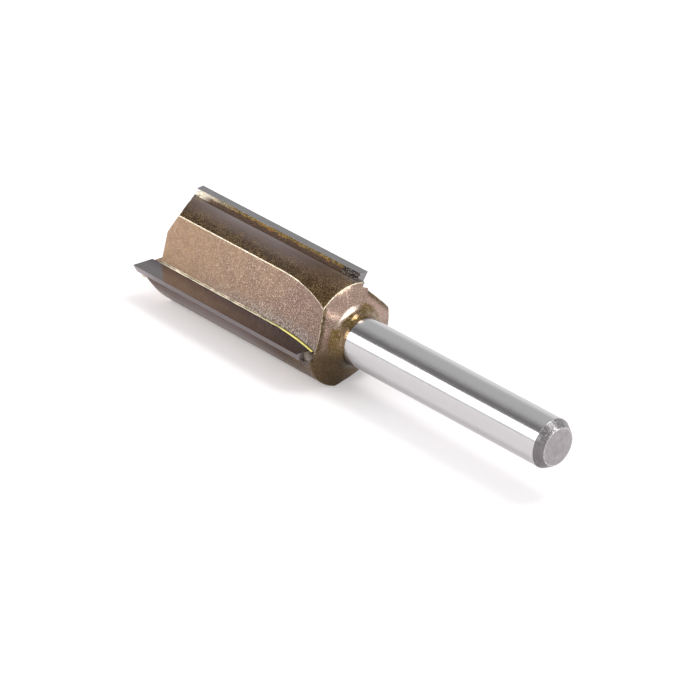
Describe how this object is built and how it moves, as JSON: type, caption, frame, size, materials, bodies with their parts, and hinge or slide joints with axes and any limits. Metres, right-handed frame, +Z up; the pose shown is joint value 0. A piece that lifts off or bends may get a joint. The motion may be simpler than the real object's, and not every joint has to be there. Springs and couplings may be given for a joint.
{
  "type": "router bit",
  "caption": "Straight router bit with brazed carbide tips on a fluted head and a plain round shank with a chamfered end.",
  "frame": {"origin": "on the table under the middle of the lying bit, at the bottom centre of its box", "axes": "+X from the cutting end to the shank end along the bit's axis as seen from above, +Z up from the table. The axis itself climbs 1.2 degrees towards the shank, as the bit lies."},
  "size_m": [0.0662, 0.0148, 0.0143],
  "materials": {
    "body_steel": "ground bright on the shank, smoother with a bronze tint on the head",
    "carbide": "finely ground",
    "braze": "as melted"
  },
  "bodies": {
    "root": {"steel_body": "body_steel", "carbide_tip_1": "carbide", "carbide_tip_2": "carbide", "carbide_tip_3": "carbide", "braze_seam_1": "braze", "braze_seam_2": "braze", "braze_seam_3": "braze"}
  },
  "joints": []
}
